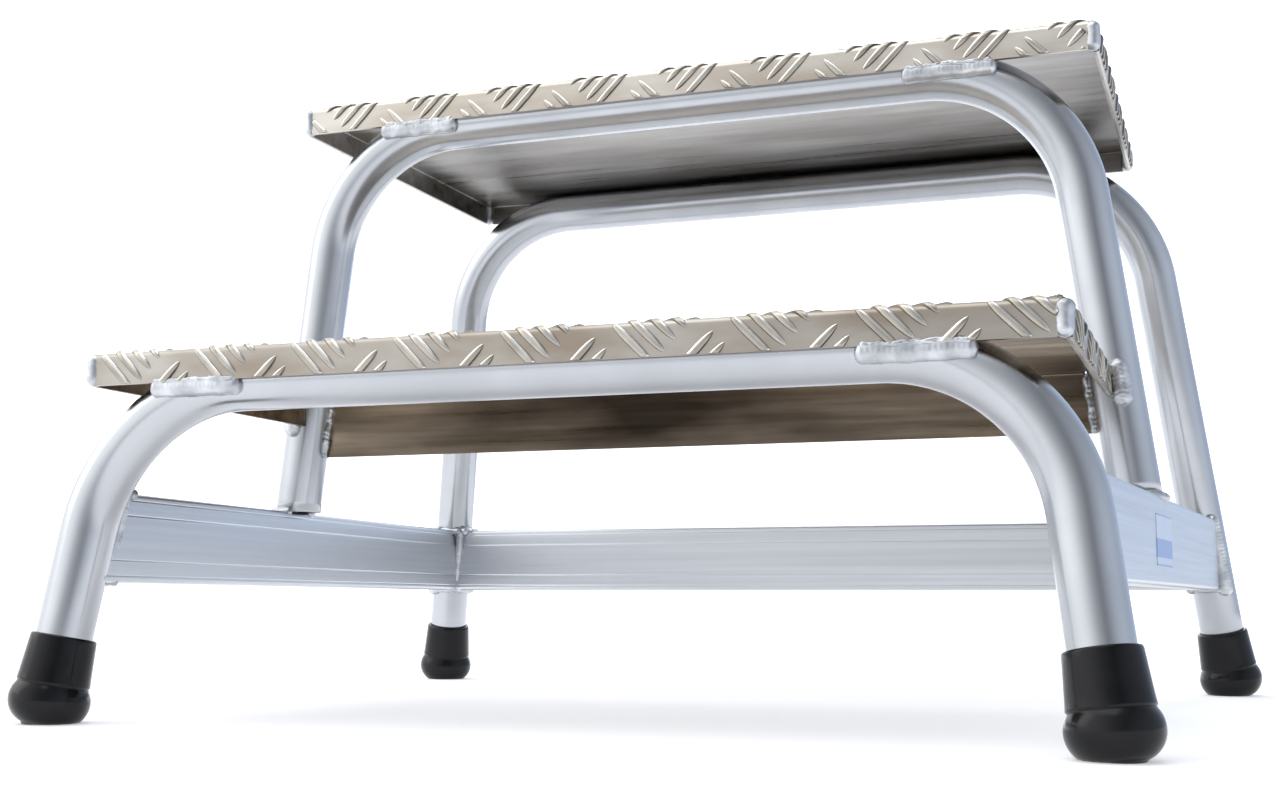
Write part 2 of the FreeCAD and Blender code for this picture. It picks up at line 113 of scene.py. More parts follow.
def shader(name, colour, metallic, roughness):
    """A new material and its principled shader, with the constant values set."""
    material = bpy.data.materials.new(name)
    material.use_nodes = True
    node = material.node_tree.nodes["Principled BSDF"]
    node.inputs["Base Color"].default_value = (*colour, 1.0)
    node.inputs["Metallic"].default_value = metallic
    node.inputs["Roughness"].default_value = roughness
    return material, node


def add(material, kind, **values):
    """A node of a kind with its properties and named inputs set."""
    node = material.node_tree.nodes.new(kind)
    for key, value in values.items():
        if hasattr(node, key):
            setattr(node, key, value)
        else:
            node.inputs[key.replace("_", " ")].default_value = value
    return node


def feed(material, value, target):
    """Gives a node's input a value, which is the output of another node or a constant."""
    if isinstance(value, bpy.types.NodeSocket):
        material.node_tree.links.new(value, target)
    else:
        target.default_value = value


def axes(material, kind="Object"):
    """Outputs X, Y and Z of a kind of coordinates, the object's own unless said."""
    place = add(material, "ShaderNodeTexCoord")
    parts = add(material, "ShaderNodeSeparateXYZ")
    feed(material, place.outputs[kind], parts.inputs["Vector"])
    return parts.outputs


def mixed(material, factor, first, second, blend="MIX"):
    """Two colours mixed. The factor and the colours are outputs of nodes or constants."""
    node = add(material, "ShaderNodeMix", data_type="RGBA", blend_type=blend)
    feed(material, factor, node.inputs[MIX_FACTOR])
    feed(material, first, node.inputs[MIX_FIRST])
    feed(material, second, node.inputs[MIX_SECOND])
    return node.outputs[MIX_RESULT]


def maths(material, operation, first, second=None):
    """Result of an operation on one or two values; a test gives 1 or 0."""
    node = add(material, "ShaderNodeMath", operation=operation)
    feed(material, first, node.inputs[0])
    if second is not None:
        feed(material, second, node.inputs[1])
    return node.outputs[0]


def grain(material, stretch, scale, detail=4.0):
    """Noise over the object's own coordinates, stretched by a scale along each axis."""
    place = add(material, "ShaderNodeTexCoord")
    mapping = add(material, "ShaderNodeMapping")
    mapping.inputs["Scale"].default_value = stretch
    texture = add(material, "ShaderNodeTexNoise", Scale=scale, Detail=detail)
    feed(material, place.outputs["Object"], mapping.inputs["Vector"])
    feed(material, mapping.outputs["Vector"], texture.inputs["Vector"])
    return texture.outputs["Fac"]


def spread(material, value, low, high, start=0.3, end=0.7):
    """A value that goes from start to end, made to go from low to high."""
    node = add(material, "ShaderNodeMapRange")
    for key, number in (("From Min", start), ("From Max", end), ("To Min", low), ("To Max", high)):
        node.inputs[key].default_value = number
    feed(material, value, node.inputs["Value"])
    return node.outputs["Result"]


def ramp(material, value, stops, interpolation="LINEAR"):
    """A value turned into the colours of stops, each (position, colour)."""
    node = add(material, "ShaderNodeValToRGB")
    node.color_ramp.interpolation = interpolation
    elements = node.color_ramp.elements
    while len(elements) < len(stops):
        elements.new(0.5)
    for element, (position, colour) in zip(elements, stops):
        element.position = position
        element.color = (*colour, 1.0)
    feed(material, value, node.inputs["Fac"])
    return node.outputs["Color"]


def tinted(material, value, dark, light, start=0.35, end=0.65):
    """A value turned into a colour between two."""
    return ramp(material, value, ((start, dark), (end, light)))


def relief(material, node, value, strength, distance):
    """Fine unevenness of a surface from a noise value."""
    bump = add(material, "ShaderNodeBump", Strength=strength, Distance=distance)
    feed(material, value, bump.inputs["Height"])
    feed(material, bump.outputs["Normal"], node.inputs["Normal"])


def metal(name, dark, light, rough, scale, bumpiness, stretch=EVEN):
    """Metal whose colour and polish follow a grain of this scale and stretch."""
    material, node = shader(name, light, 1.0, rough)
    value = grain(material, stretch, scale)
    polish = spread(material, value, rough * DULLER, rough * SHINIER)
    feed(material, tinted(material, value, dark, light), node.inputs["Base Color"])
    feed(material, polish, node.inputs["Roughness"])
    relief(material, node, grain(material, stretch, scale * FINE_GRAIN), bumpiness, GRAIN_HEIGHT)
    return material


TUBE = metal("tube_satin", dark=(0.45, 0.465, 0.49), light=(0.51, 0.525, 0.55),
             rough=0.22, scale=14.0, bumpiness=0.02)
RAIL = metal("rail_satin", dark=(0.58, 0.60, 0.63), light=(0.66, 0.68, 0.71),
             rough=0.34, scale=60.0, bumpiness=0.02, stretch=(0.05, 0.05, 4))
BAR = metal("bar_crown", dark=(0.33, 0.305, 0.26), light=(0.48, 0.45, 0.39),
            rough=0.30, scale=60.0, bumpiness=0.08)
# Painted shade: one flank of every bar is given this dark colour, as if it were turned away from the
# light.
PAINTED_SHADE_FLANK = metal("bar_painted_shade_flank", dark=(0.11, 0.10, 0.085), light=(0.24, 0.215, 0.18),
               rough=0.45, scale=60.0, bumpiness=0.10)
# Painted highlight: the other flank of every bar is given this bright colour, as if it were lit from
# above.
PAINTED_HIGHLIGHT_FLANK = metal("bar_painted_highlight_flank", dark=(0.70, 0.68, 0.64), light=(0.86, 0.84, 0.80),
               rough=0.26, scale=60.0, bumpiness=0.06)
WELD = metal("weld_bead", dark=(0.42, 0.44, 0.46), light=(0.64, 0.65, 0.68),
             rough=0.36, scale=90.0, bumpiness=0.10)
STEEL = metal("plated_steel_disc", dark=(0.40, 0.40, 0.41), light=(0.55, 0.55, 0.56),
              rough=0.40, scale=80.0, bumpiness=0.05)


def rubber():
    """Glossy black moulded rubber."""
    material, node = shader("black_rubber", (0.004, 0.004, 0.005), metallic=0.0, roughness=0.16)
    node.inputs["Specular IOR Level"].default_value = 0.25
    value = grain(material, EVEN, scale=60.0)
    tint = tinted(material, value, dark=(0.003, 0.003, 0.0035), light=(0.006, 0.006, 0.007))
    feed(material, tint, node.inputs["Base Color"])
    feed(material, spread(material, value, low=0.12, high=0.22), node.inputs["Roughness"])
    relief(material, node, grain(material, EVEN, scale=500.0), strength=0.05, distance=0.0002)
    return material


def label_film():
    """Pale film with a plain blue field in it and no lettering."""
    material, node = shader("label_film", (0.80, 0.86, 0.94), metallic=0.0, roughness=0.35)
    low, high = (LABEL_MIDDLE - LABEL_HEIGHT / 2) * MM, (LABEL_MIDDLE + LABEL_HEIGHT / 2) * MM
    up = spread(material, axes(material)["Z"], 0.0, 1.0, start=low, end=high)
    fields = ramp(material, up, LABEL_FIELDS, "CONSTANT")
    worn = tinted(material, grain(material, EVEN, scale=200.0), dark=(0.90, 0.92, 0.95), light=WHITE)
    feed(material, mixed(material, 1.0, fields, worn, "MULTIPLY"), node.inputs["Base Color"])
    return material


RUBBER = rubber()
LABEL = label_film()


def paint(obj, *materials):
    obj.data.materials.clear()
    for material in materials:
        obj.data.materials.append(material)


# ---------------------------------------------------------------- mesh helpers

def finish_piece(name, bm, materials, nodes):
    """Turns a bmesh into a piece that rides on the part and stands for some of its nodes."""
    bmesh.ops.recalc_face_normals(bm, faces=bm.faces)
    for vertex in bm.verts:
        vertex.co *= MM
    mesh = bpy.data.meshes.new(name)
    for face in bm.faces:
        face.smooth = True
    bm.to_mesh(mesh)
    bm.free()
    obj = bpy.data.objects.new(name, mesh)
    SCENE.collection.objects.link(obj)
    for material in materials:
        mesh.materials.append(material)
    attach(obj, "root")
    if nodes:
        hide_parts(*nodes)


def circle(centre, first, second, radius, count):
    """Points round a centre, from the direction first towards the direction second."""
    points = []
    for i in range(count):
        turn = FULL_TURN * i / count
        points.append(centre + (first * math.cos(turn) + second * math.sin(turn)) * radius)
    return points


def loft(bm, rings, caps=False, sides=()):
    """Skin between rings of points of equal count.

    sides gives each side's place in the list of materials, and caps closes both ends.
    """
    made = [[bm.verts.new(point) for point in ring] for ring in rings]
    count = len(made[0])
    for low, high in zip(made[:-1], made[1:]):
        for i in range(count):
            j = (i + 1) % count
            face = bm.faces.new((low[i], low[j], high[j], high[i]))
            face.material_index = sides[i] if sides else 0
    if caps:
        bm.faces.new(made[0])
        bm.faces.new(made[-1])
    return made


# ---------------------------------------------------------------- hoops

BEND_STEPS, BAR_STEPS, LEG_STEPS = 26, 12, 6    # pieces that a hoop's axis is divided in
TUBE_SIDES = 72


def hoop_stations(hoop):
    """Points of the hoop's axis and the direction of the axis at each, left foot to right foot."""
    stretch = math.hypot(1.0, hoop.lean)
    angle = math.atan(hoop.splay / stretch)

    def place(across, up):
        height = up / stretch
        return Vector((across, hoop.foot_y + hoop.lean * height, height))

    corner = hoop.foot_x - hoop.splay * hoop.bar_z
    tangent = hoop.bend_radius * math.tan((math.pi / 2 - angle) / 2)
    centre = (corner - tangent, hoop.bar_z * stretch - hoop.bend_radius)
    arc = []
    for i in range(BEND_STEPS + 1):
        turn = angle + (math.pi / 2 - angle) * i / BEND_STEPS
        arc.append((centre[0] + hoop.bend_radius * math.cos(turn),
                    centre[1] + hoop.bend_radius * math.sin(turn)))

    def start(side):
        return leg_axis(hoop, side, 0.0) + leg_direction(hoop, side) * hoop.leg_end

    left = [place(-x, up) for x, up in arc]
    right = [place(x, up) for x, up in reversed(arc)]
    bar = [left[-1].lerp(right[0], i / BAR_STEPS) for i in range(1, BAR_STEPS)]
    leg_left = [start(-1).lerp(left[0], i / LEG_STEPS) for i in range(LEG_STEPS)]
    leg_right = [right[-1].lerp(start(1), i / LEG_STEPS) for i in range(1, LEG_STEPS + 1)]
    points = leg_left + left + bar + right + leg_right
    directions = []
    for i in range(len(points)):
        before, after = points[max(i - 1, 0)], points[min(i + 1, len(points) - 1)]
        directions.append((after - before).normalized())
    return points, directions


def hoop_piece(name, hoop, level_ends):
    """Hollow bent tube. With level_ends its legs are cut flat on top of the rails."""
    points, directions = hoop_stations(hoop)
    sideways = Vector((0, 1, -hoop.lean)).normalized()        # across the hoop's plane
    bm = bmesh.new()
    skins = []
    for radius in (TUBE_RADIUS, TUBE_RADIUS - TUBE_WALL):
        rings = []
        for point, direction in zip(points, directions):
            normal = direction.cross(sideways).normalized()
            binormal = direction.cross(normal).normalized()
            rings.append(circle(point, normal, binormal, radius, TUBE_SIDES))
        if level_ends:
            for end in (0, -1):
                rings[end] = [vertex + directions[end] * ((RAIL_TOP - vertex.z) / directions[end].z)
                              for vertex in rings[end]]
        skins.append(loft(bm, rings))
    outer, inner = skins
    for end in (0, -1):
        for i in range(TUBE_SIDES):
            j = (i + 1) % TUBE_SIDES
            bm.faces.new((outer[end][i], outer[end][j], inner[end][j], inner[end][i]))
    finish_piece(name + "_look", bm, [TUBE], [name])


hoop_piece("front_hoop", FRONT, False)
hoop_piece("middle_hoop", MIDDLE, True)
hoop_piece("rear_hoop", REAR, False)


# ---------------------------------------------------------------- tread plate

CELL = 42.43            # side of a square group of raised bars, turned 45 degrees
CELLS = 16              # groups laid out each way from the first, more than the treads need
BARS = 5
BAR_PITCH = 8.0
BAR_LENGTH = 31.0
BAR_HALF_WIDTH = 2.3
BAR_HEIGHT = 1.4
BAR_SINK = 0.4          # how far a bar's underside is sunk in the sheet
# Points across a bar, as shares of its half width and of its height.
BAR_SECTION = ((-0.98, 0.05), (-0.76, 0.80), (-0.30, 1.0), (0.30, 1.0), (0.76, 0.80), (0.98, 0.05))
BAR_SIDES = (0, 1, 0, 0, 2, 2, 0, 0)    # material of each side of a bar's section: 1 is a flank with painted shade, 2 a flank with painted highlight
TAPER, TIP_ROUND = 3.2, 0.62            # how late a bar grows narrow, and how blunt its tips are
NARROWEST = 0.01
CREST = 6               # how late a bar grows lower towards its tips
LOWEST = 0.12
SECTIONS, FOLDED_SECTIONS = 9, 19       # rings along a bar on the flat and at a fold
ARC = FOLD * math.pi / 2
CORNER = 4.5            # the welded corners have no bars
RIM = 0.3               # the bars end this far from the sheet's edges
LOWER_PATTERN = (-119.8, -123.2)        # the first group's place along the two diagonals
UPPER_PATTERN = (-117.5, -121.8)
NOTCH_ROOM = 3.0        # the bars end this far from the middle legs
INNER_SKIN = 1.5        # metal deeper than this in the sheet has the look of its inner side


class Tread:
    """A folded tread and the map from its flat pattern to its folded surface.

    In the flat pattern u runs across and v runs back from the front lip's face. The sheet is
    flat for v from FOLD to depth - FOLD, and past those it bends down round the folds. group is
    where the pattern's first group of bars lies, and rising says which way that group's bars run.
    """

    def __init__(self, front, back, top, back_height, group, rising):
        self.front, self.back, self.top = front, back, top
        self.depth = back - front
        self.front_end = FOLD - ARC - (LIP - FOLD)
        self.back_end = self.depth - FOLD + ARC + (back_height - FOLD)
        self.side_end = HALF_WIDTH - FOLD + ARC + (LIP - FOLD)
        self.group, self.rising = group, rising

    @staticmethod
    def bend(over, lift):
        """How far out and down a point lies that is past the start of a fold by over."""
        turn = min(over / FOLD, math.pi / 2)
        out = (FOLD + lift) * math.sin(turn)
        down = FOLD - (FOLD + lift) * math.cos(turn)
        return out, down + max(over - ARC, 0.0)

    def point(self, u, v, lift):
        """Place of a point of the flat pattern raised by lift above the sheet."""
        x, y, z = u, self.front + v, self.top + lift
        if v < FOLD:
            out, down = self.bend(FOLD - v, lift)
            y, z = self.front + FOLD - out, self.top - down
        elif v > self.depth - FOLD:
            out, down = self.bend(v - self.depth + FOLD, lift)
            y, z = self.back - FOLD + out, self.top - down
        elif abs(u) > HALF_WIDTH - FOLD:
            out, down = self.bend(abs(u) - HALF_WIDTH + FOLD, lift)
            x, z = math.copysign(HALF_WIDTH - FOLD + out, u), self.top - down
        return Vector((x, y, z))

    def near_fold(self, u, v, reach):
        """Whether a bar at u, v with this reach comes to a fold."""
        return (v - reach < FOLD or v + reach > self.depth - FOLD
                or abs(u) + reach > HALF_WIDTH - FOLD)

    def cut_out(self, u, v):
        """Whether a point of the flat pattern lies in one of its corners, which have no bars."""
        return abs(u) > HALF_WIDTH - CORNER and (v < CORNER or v > self.depth - CORNER)


def bar_rings(u, v, along, sections):
    """Rings of a raised bar about a point of the flat pattern, pointed at both ends."""
    across = (-along[1], along[0])
    rings = []
    for i in range(sections):
        s = -1.0 + 2.0 * i / (sections - 1)
        s = math.sin(s * math.pi / 2)                     # closer together at the tips
        width = BAR_HALF_WIDTH * max(1.0 - abs(s) ** TAPER, NARROWEST) ** TIP_ROUND
        height = BAR_HEIGHT * max(1.0 - s ** CREST, LOWEST)
        sunk = -BAR_SINK / height
        ring = []
        for t, h in ((-1.0, sunk), *BAR_SECTION, (1.0, sunk)):
            ring.append(Vector((u + along[0] * s * BAR_LENGTH / 2 + across[0] * t * width,
                                v + along[1] * s * BAR_LENGTH / 2 + across[1] * t * width,
                                h * height)))
        rings.append(ring)
    return rings


def kept_rings(rings, tread, holes):
    """The longest unbroken part of a bar that lies on metal."""

    def on_metal(point):
        if tread.cut_out(point.x, point.y):
            return False
        return all(math.hypot(point.x - x, point.y - y) >= radius for x, y, radius in holes)

    best, run = [], []
    for ring in rings:
        run = run + [ring] if all(on_metal(point) for point in ring) else []
        best = max(best, run, key=len)
    return best


def tread_bars(name, tread, holes):
    """All the raised bars of a tread as one piece; holes are (u, v, radius) without bars."""
    root = math.sqrt(0.5)
    diagonal = {True: (root, root), False: (root, -root)}
    bm = bmesh.new()
    start_a, start_b = tread.group
    for i in range(-CELLS, CELLS + 1):
        for j in range(-CELLS, CELLS + 1):
            rising = tread.rising if (i + j) % 2 == 0 else not tread.rising
            along = diagonal[rising]
            across = diagonal[not rising]
            a, b = start_a + i * CELL, start_b + j * CELL
            for k in range(BARS):
                step = (k - (BARS - 1) / 2) * BAR_PITCH
                u = (a + b) * root + across[0] * step
                v = (a - b) * root + across[1] * step
                reach = BAR_LENGTH * root / 2 + 1.0
                if abs(u) > tread.side_end + reach:
                    continue
                if not tread.front_end - reach < v < tread.back_end + reach:
                    continue
                sections = FOLDED_SECTIONS if tread.near_fold(u, v, reach) else SECTIONS
                rings = kept_rings(bar_rings(u, v, along, sections), tread, holes)
                if len(rings) > 2:
                    loft(bm, rings, caps=True, sides=BAR_SIDES)
    rims = (((0, tread.front_end + RIM, 0), (0, -1, 0)), ((0, tread.back_end - RIM, 0), (0, 1, 0)),
            ((tread.side_end - RIM, 0, 0), (1, 0, 0)), ((-tread.side_end + RIM, 0, 0), (-1, 0, 0)))
    for place, outwards in rims:
        cut = bmesh.ops.bisect_plane(bm, geom=bm.verts[:] + bm.edges[:] + bm.faces[:],
                                     plane_co=place, plane_no=outwards, clear_outer=True)
        rim = [e for e in cut["geom_cut"] if isinstance(e, bmesh.types.BMEdge)]
        bmesh.ops.edgeloop_fill(bm, edges=rim)
    for vertex in bm.verts:
        vertex.co = tread.point(*vertex.co)
    finish_piece(name, bm, [BAR, PAINTED_SHADE_FLANK, PAINTED_HIGHLIGHT_FLANK], [])


LOWER = Tread(LOWER_FRONT, LOWER_BACK, RISE, BACK_FLANGE, LOWER_PATTERN, False)
UPPER = Tread(UPPER_FRONT, UPPER_BACK, 2 * RISE, LIP, UPPER_PATTERN, True)
LEG_AT_TREAD = leg_axis(MIDDLE, 1, RISE)
NOTCHES = [(side * LEG_AT_TREAD.x, LEG_AT_TREAD.y - LOWER_FRONT, TUBE_RADIUS + NOTCH_ROOM)
           for side in SIDES.values()]
tread_bars("lower_tread_bars", LOWER, NOTCHES)
tread_bars("upper_tread_bars", UPPER, [])


def plate_material(name, tread, outside, inside):
    """Tread plate: warm rolled metal outside, and streaked metal on the inner sides, darkened there
    with painted shade.

    outside and inside are each a darker and a lighter colour.
    """
    material, node = shader(name, (0.75, 0.70, 0.62), metallic=1.0, roughness=0.30)
    outer = tinted(material, grain(material, (1, 1, 2.5), scale=11.0), *outside)
    streaks = grain(material, (0.5, 9.0, 14.0), scale=12.0, detail=6.0)
    clouds = grain(material, (0.5, 1.6, 1.6), scale=9.0)
    # The inner sides' colours are darkened as painted shade under the sheet; their streaks and clouds
    # are the metal's own grain.
    inner = mixed(material, 0.85, tinted(material, clouds, *inside, start=0.38, end=0.66),
                  tinted(material, streaks, (0.62, 0.55, 0.46), WHITE, start=0.30, end=0.62),
                  "MULTIPLY")
    place = axes(material)
    inside_sheet = maths(material, "LESS_THAN", maths(material, "ABSOLUTE", place["X"]),
                         (HALF_WIDTH - INNER_SKIN) * MM)
    for axis, test, limit in (("Z", "LESS_THAN", tread.top - INNER_SKIN),
                              ("Y", "GREATER_THAN", tread.front + INNER_SKIN),
                              ("Y", "LESS_THAN", tread.back - INNER_SKIN)):
        inside_sheet = maths(material, "MULTIPLY", inside_sheet,
                             maths(material, test, place[axis], limit * MM))
    feed(material, mixed(material, inside_sheet, outer, inner), node.inputs["Base Color"])
    feed(material, spread(material, streaks, low=0.26, high=0.40), node.inputs["Roughness"])
    fine = grain(material, (0.6, 6.0, 6.0), scale=120.0)
    relief(material, node, fine, strength=0.10, distance=GRAIN_HEIGHT)
    return material


# The lower tread's outside is given darker colours than the upper's as painted shade; both are the
# same plate.
paint(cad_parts["lower_tread"], plate_material(
    "lower_plate", LOWER, outside=((0.29, 0.245, 0.195), (0.45, 0.43, 0.395)),
    inside=((0.085, 0.068, 0.053), (0.48, 0.40, 0.31))))
paint(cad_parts["upper_tread"], plate_material(
    "upper_plate", UPPER, outside=((0.43, 0.375, 0.31), (0.66, 0.63, 0.57)),
    inside=((0.20, 0.185, 0.17), (0.42, 0.42, 0.42))))


# ---------------------------------------------------------------- weld beads

RIPPLE = 2.6            # spacing of a bead's ripples
BOW = 0.45              # how far a ripple is bowed along the bead, in radii
STATION = 0.55          # spacing of the rings along a bead
FEWEST_STATIONS, SHORT_BEAD = 10, 30    # a bead with few rings has them closer at its ends
BEAD_SIDES = 18
END_TRIM = 0.05         # the last rings lie this far from a bead's tips
END_SWELL = 0.006       # keeps a bead's last ring from closing to a point
UPRIGHT = 0.2           # a bead that is steeper than this has its side taken from X
LUMP_ALONG, LUMP_ROUND = 0.16, 0.8      # how fast the lumps change along and round a bead
COARSE_LUMPS, FINE_LUMPS, FINE_LUMP_SCALE = 2.0, 0.9, 3.1
BEHIND_TUBE = 0.5       # a bead's axis lies this far from the wall of the tube beside it
LOWER_LIP_BEAD, UPPER_LIP_BEAD, BACK_LIP_BEAD = 168.0, 151.0, 172.0     # X where each starts
FRONT_RAIL_INSET = 3.0  # a side rail's front end lies this far inwards of the front leg's axis
RAIL_BEAD_TRIM = 1.0    # from the end of a bead's axis to the edge of the rail
RING_STEPS = 72
RING_OUT = 0.6          # the weld round a middle leg's foot lies this far outside the tube
RING_TRIM = 0.5         # and this far inside the rail's edges

# lumps and ripples are heights as shares of the radius; tall stretches a level bead upwards.
Bead = namedtuple("Bead", "radius lumps tall ripples", defaults=(1.0, 0.028))
LIP_BEAD = Bead(4.2, 0.04, 1.32, 0.012)
LIP_EDGE_BEAD = Bead(2.1, 0.22, 1.0, 0.03)
CORNER_BEAD = Bead(4.3, 0.045, 1.0, 0.012)
LEG_SIDE_BEAD = Bead(5.8, 0.06)
FLANGE_BEAD = Bead(2.5, 0.16)
FRONT_RAIL_BEAD = Bead(2.4, 0.10)
REAR_RAIL_BEAD = Bead(3.2, 0.10)
OUTER_RAIL_BEAD = Bead(5.0, 0.03)
RAIL_EDGE_BEAD = Bead(2.9, 0.12)
CROSS_RAIL_BEAD = Bead(3.5, 0.10)
RING_BEAD = Bead(3.2, 0.12)


def ripple_bead(bm, start, end, bead):
    """A run of weld metal with crescent ripples and round ends."""
    direction = (end - start).normalized()
    side = direction.cross(Vector((0, 0, 1)))
    side = side.normalized() if side.length > UPRIGHT else Vector((1, 0, 0))
    side = (side - direction * side.dot(direction)).normalized()
    rise = side.cross(direction).normalized()
    length = (end - start).length
    total = length + 2 * bead.radius
    stations = max(int(total / STATION), FEWEST_STATIONS)
    phase = RANDOM.uniform(0, FULL_TURN)
    rings = []
    for i in range(stations + 1):
        s = -math.cos(math.pi * i / stations) if stations < SHORT_BEAD else -1 + 2 * i / stations
        place = s * (total / 2 - END_TRIM)
        past = max(abs(place) - (length / 2), 0.0) / bead.radius
        swell = math.sqrt(max(1.0 - past * past, END_SWELL))
        centre = (start + end) / 2 + direction * place
        ring = []
        for k in range(BEAD_SIDES):
            turn = FULL_TURN * k / BEAD_SIDES
            bow = BOW * bead.radius * math.cos(turn * 2)
            ripple = bead.ripples * math.sin(FULL_TURN * (place + bow) / RIPPLE + phase)
            seed = centre * LUMP_ALONG + Vector((math.cos(turn), math.sin(turn), 0)) * LUMP_ROUND
            bump = bead.lumps * (COARSE_LUMPS * noise.noise(seed)
                                 + FINE_LUMPS * noise.noise(seed * FINE_LUMP_SCALE))
            size = bead.radius * swell * (1 + ripple + bump)
            ring.append(centre + side * math.cos(turn) * size
                        + rise * math.sin(turn) * size * bead.tall)
        rings.append(ring)
    loft(bm, rings, caps=True)


def weld_piece(node, runs):
    """A weld node's look from its runs, each (start, end, bead)."""
    bm = bmesh.new()
    for run in runs:
        ripple_bead(bm, *run)
    finish_piece(node + "_look", bm, [WELD], [node])


def lip_runs(face_y, facing, top_z, side, near):
    """Bead under a lip's edge, with the rough edge it leaves along the lip.

    facing is the sign of Y that the lip's face looks to, and near is the X where the weld starts.
    """
    def run(inwards, up, first, last, bead):
        y, z = face_y - facing * inwards, top_z - LIP + up
        return Vector((side * (near + first), y, z)), Vector((side * (near + last), y, z)), bead

    return [run(inwards=3.0, up=-2.8, first=1.0, last=49.5, bead=LIP_BEAD),
            run(inwards=0.9, up=0.4, first=1.5, last=49.0, bead=LIP_EDGE_BEAD)]


def leg_side_run(side):
    """Bead in front of a middle leg, where it passes the lower tread's edge."""
    shift = Vector((side * 3.5, -TUBE_RADIUS - BEHIND_TUBE, 0))
    return [(leg_axis(MIDDLE, side, RISE - 19.0) + shift,
             leg_axis(MIDDLE, side, RISE - 3.0) + shift, LEG_SIDE_BEAD)]


def flange_run(side):
    """Bead between a middle leg and the lower tread's back flange."""
    ends = []
    for z in (RISE - BACK_FLANGE + 2.0, RISE - 2 * SHEET):
        x = leg_axis(MIDDLE, side, z).x - side * (TUBE_RADIUS + 0.6)
        ends.append(Vector((x, LOWER_BACK - SHEET - 1.0, z)))
    return [(*ends, FLANGE_BEAD)]


def corner_run(side, face_y, into, top):
    """Upright bead that closes a tread's corner; into is the sign of Y towards the sheet."""
    x, y = side * (HALF_WIDTH - 3.0), face_y + into * 3.0
    return [(Vector((x, y, top - LIP + 3.8)), Vector((x, y, top - 4.9)), CORNER_BEAD)]


for label, side in SIDES.items():
    weld_piece("weld_lower_lip_" + label, lip_runs(LOWER_FRONT, -1, RISE, side, LOWER_LIP_BEAD))
    weld_piece("weld_upper_lip_" + label, lip_runs(UPPER_FRONT, -1, 2 * RISE, side, UPPER_LIP_BEAD))
    weld_piece("weld_upper_back_" + label, lip_runs(UPPER_BACK, 1, 2 * RISE, side, BACK_LIP_BEAD))
    weld_piece("weld_lower_side_" + label, leg_side_run(side))
    weld_piece("weld_lower_back_" + label, flange_run(side))
    weld_piece("weld_lower_corner_" + label, corner_run(side, LOWER_FRONT, 1, RISE))
    weld_piece("weld_upper_front_corner_" + label, corner_run(side, UPPER_FRONT, 1, 2 * RISE))
    weld_piece("weld_upper_back_corner_" + label, corner_run(side, UPPER_BACK, -1, 2 * RISE))


def rail_weld_runs(side):
    """Runs of weld at the front and the rear end of a side rail, as CAD has them."""
    half = RAIL_THICKNESS / 2
    middle = (RAIL_TOP + RAIL_BOTTOM) / 2
    low_z, high_z = RAIL_BOTTOM + RAIL_BEAD_TRIM, RAIL_TOP - RAIL_BEAD_TRIM
    behind = TUBE_RADIUS + BEHIND_TUBE
    inner, outer = -FRONT_RAIL_INSET - half, -FRONT_RAIL_INSET + half
    along = (leg_axis(REAR, side, middle) - leg_axis(FRONT, side, middle)).normalized()
    across = Vector((along.y, -along.x, 0)) * side

    def upright(hoop, outwards, onwards, bead):
        shift = across * outwards + along * onwards
        return leg_axis(hoop, side, low_z) + shift, leg_axis(hoop, side, high_z) + shift, bead

    def level(hoop, z, onwards, first, last):
        axis = leg_axis(hoop, side, z)
        return (axis + across * first + along * onwards, axis + across * last + along * onwards,
                RAIL_EDGE_BEAD)

    front = [upright(FRONT, inner + 1.4, 12.4, FRONT_RAIL_BEAD),
             upright(FRONT, outer - 1.4, 14.0, FRONT_RAIL_BEAD),
             level(FRONT, high_z, behind, inner, outer),
             level(FRONT, low_z, behind, inner, outer)]
    rear = [upright(REAR, -half - 1.2, -half - 4.0, REAR_RAIL_BEAD),
            upright(REAR, half + 0.2, -TUBE_RADIUS + 1.0, OUTER_RAIL_BEAD),
            upright(REAR, -TUBE_RADIUS + 1.5, half - 1.0, REAR_RAIL_BEAD),
            level(REAR, high_z, -behind, -half, half),
            level(REAR, low_z, -behind, -half, half)]
    for z in (high_z, low_z):                             # where the cross rail meets the leg
        axis = leg_axis(REAR, side, z) + Vector((-side * behind, -3.0, 0))
        rear.append((axis + Vector((0, -half, 0)), axis + Vector((0, half, 0)), CROSS_RAIL_BEAD))
    return front, rear


def ring_runs(side):
    """Short runs round the part of a middle leg's foot that stands on the rail."""
    half = RAIL_THICKNESS / 2
    middle = (RAIL_TOP + RAIL_BOTTOM) / 2
    front, rear = leg_axis(FRONT, side, middle), leg_axis(REAR, side, middle)
    front.x -= side * FRONT_RAIL_INSET
    along = (rear - front).normalized()
    across = Vector((along.y, -along.x, 0)) * side
    ring = circle(leg_axis(MIDDLE, side, RAIL_TOP), Vector((1, 0, 0)), Vector((0, 1, 0)),
                  TUBE_RADIUS + RING_OUT, RING_STEPS)
    on_rail = [i for i, point in enumerate(ring)
               if abs((point - front).dot(across)) < half - RING_TRIM]
    firsts = [k for k, i in enumerate(on_rail) if k == 0 or i - on_rail[k - 1] > 2]
    runs = []
    for first, last in zip(firsts, firsts[1:] + [len(on_rail)]):
        arc = [ring[i] for i in on_rail[first:last]]
        if len(arc) >= 3:
            runs += [(low, high, RING_BEAD) for low, high in zip(arc[:-2:2], arc[2::2])]
    return runs


for label, side in SIDES.items():
    front_runs, rear_runs = rail_weld_runs(side)
    weld_piece("weld_rail_front_" + label, front_runs)
    weld_piece("weld_rail_back_" + label, rear_runs)
    weld_piece("weld_middle_leg_" + label, ring_runs(side))


# ---------------------------------------------------------------- feet

